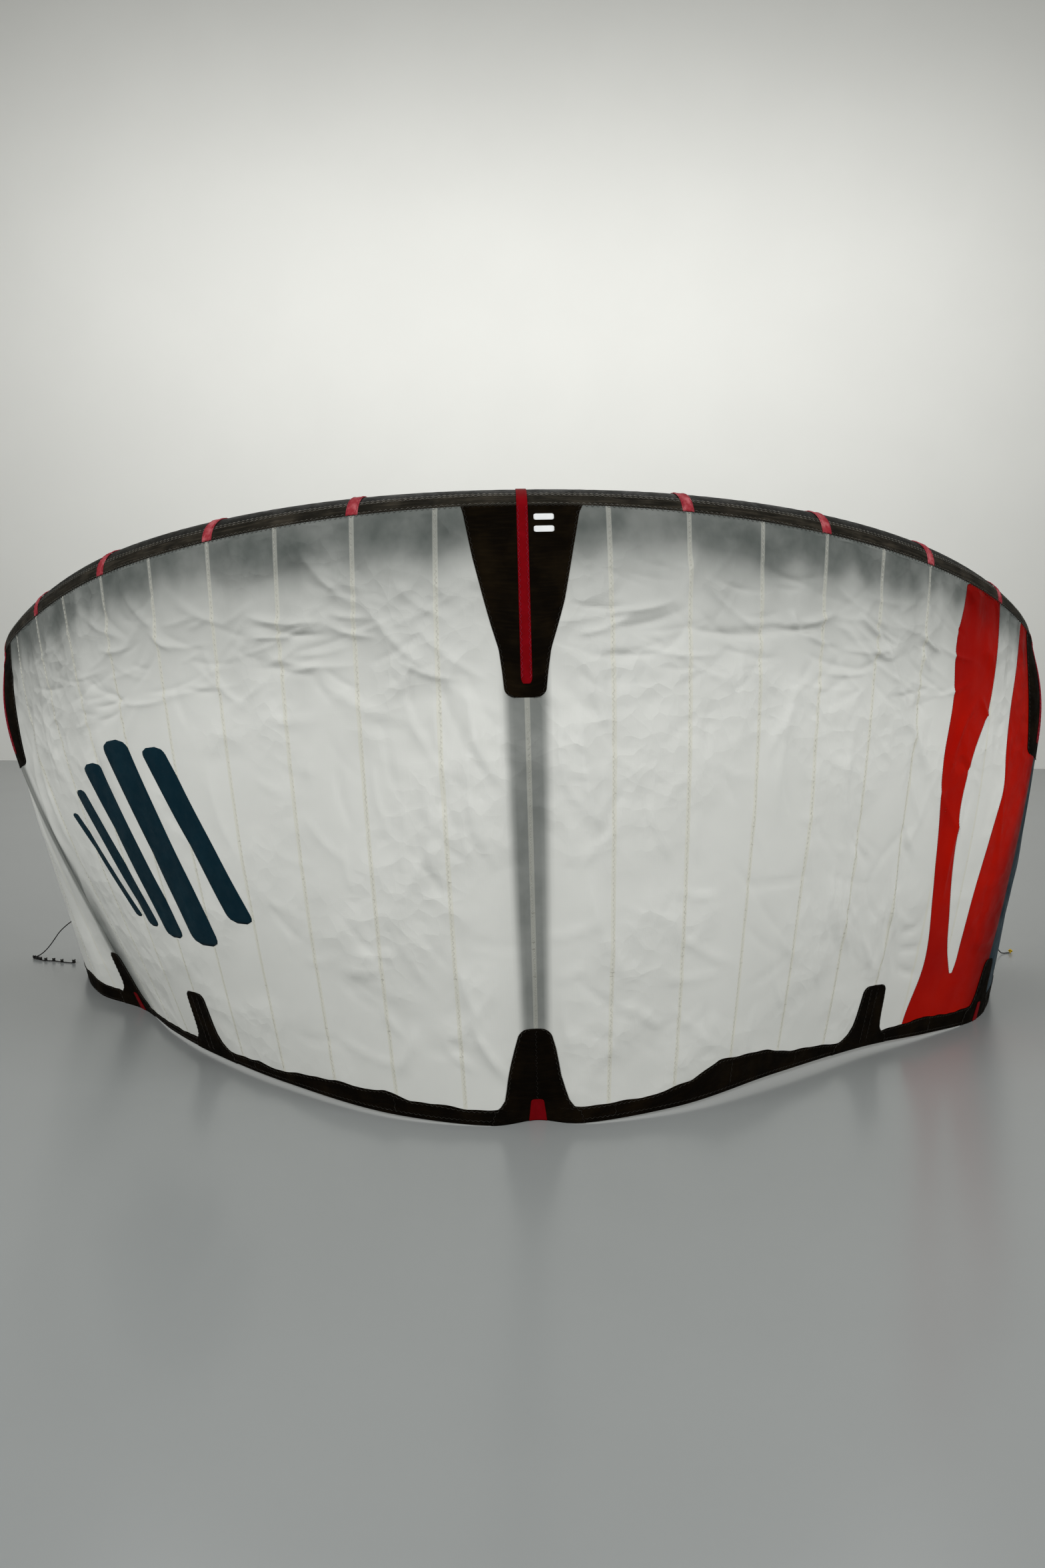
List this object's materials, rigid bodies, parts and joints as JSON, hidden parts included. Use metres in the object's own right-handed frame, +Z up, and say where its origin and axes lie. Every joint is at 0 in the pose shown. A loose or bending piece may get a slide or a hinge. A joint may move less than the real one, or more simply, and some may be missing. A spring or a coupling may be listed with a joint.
{
  "type": "inflated kitesurfing kite",
  "caption": "Inflated kite that stands on its trailing edge, with a tube along its curved top edge, inflated struts behind a white canopy, and a red and navy right side.",
  "frame": {"origin": "middle of the flat foot of the centre strut, on the floor", "axes": "+Z up from the floor to the leading edge, +X to the right tip as seen from the front, +Y to the back, the way the tips curl"},
  "size_m": [3.7865, 1.8307, 1.6267],
  "materials": {
    "canopy_cloth": "thin ripstop, slightly glossy",
    "red_cloth": "thin ripstop, slightly glossy",
    "navy_cloth": "thin ripstop, slightly glossy",
    "dark_cloth": "stiff woven, matt",
    "red_webbing": "woven webbing, matt",
    "strut_cloth": "stiff woven, matt",
    "dark_cord": "braided, matt",
    "yellow_cord": "braided, matt"
  },
  "bodies": {
    "root": {"batten_pocket_left": "dark_cloth", "batten_pocket_right": "dark_cloth", "canopy_left_1": "canopy_cloth", "canopy_left_2": "canopy_cloth", "canopy_left_3": "canopy_cloth", "canopy_left_4": "canopy_cloth", "canopy_left_5": "canopy_cloth", "canopy_left_tip": "canopy_cloth", "canopy_red_inner": "red_cloth", "canopy_red_outer": "red_cloth", "canopy_right_1": "canopy_cloth", "canopy_right_2": "canopy_cloth", "canopy_right_3": "canopy_cloth", "canopy_right_4": "canopy_cloth", "canopy_right_tip": "navy_cloth", "canopy_white_stripe": "canopy_cloth", "hem_left_inner": "dark_cloth", "hem_left_outer": "dark_cloth", "hem_right_inner": "dark_cloth", "hem_right_outer": "dark_cloth", "leading_edge_left_1": "dark_cloth", "leading_edge_left_2": "dark_cloth", "leading_edge_left_3": "dark_cloth", "leading_edge_left_4": "dark_cloth", "leading_edge_left_5": "dark_cloth", "leading_edge_left_tip": "dark_cloth", "leading_edge_right_1": "dark_cloth", "leading_edge_right_2": "dark_cloth", "leading_edge_right_3": "dark_cloth", "leading_edge_right_4": "dark_cloth", "leading_edge_right_5": "dark_cloth", "leading_edge_right_tip": "dark_cloth", "lower_wedge_centre": "dark_cloth", "lower_wedge_left": "dark_cloth", "lower_wedge_right": "dark_cloth", "strut_centre": "strut_cloth", "strut_left": "strut_cloth", "strut_right": "strut_cloth", "tip_line_left": "dark_cord", "tip_line_left_knot": "dark_cord", "tip_line_right": "dark_cord", "tip_line_right_knot": "yellow_cord", "upper_wedge_centre": "dark_cloth", "upper_wedge_left": "dark_cloth", "upper_wedge_right": "dark_cloth", "webbing_band_left_1": "red_webbing", "webbing_band_left_2": "red_webbing", "webbing_band_left_3": "red_webbing", "webbing_band_left_4": "red_webbing", "webbing_band_right_1": "red_webbing", "webbing_band_right_2": "red_webbing", "webbing_band_right_3": "red_webbing", "webbing_band_right_4": "red_webbing", "webbing_stripe_centre": "red_webbing", "webbing_stripe_left": "red_webbing", "webbing_stripe_right": "red_webbing", "webbing_tab_centre": "red_webbing", "webbing_tab_left": "red_webbing", "webbing_tab_right": "red_webbing"}
  },
  "joints": []
}
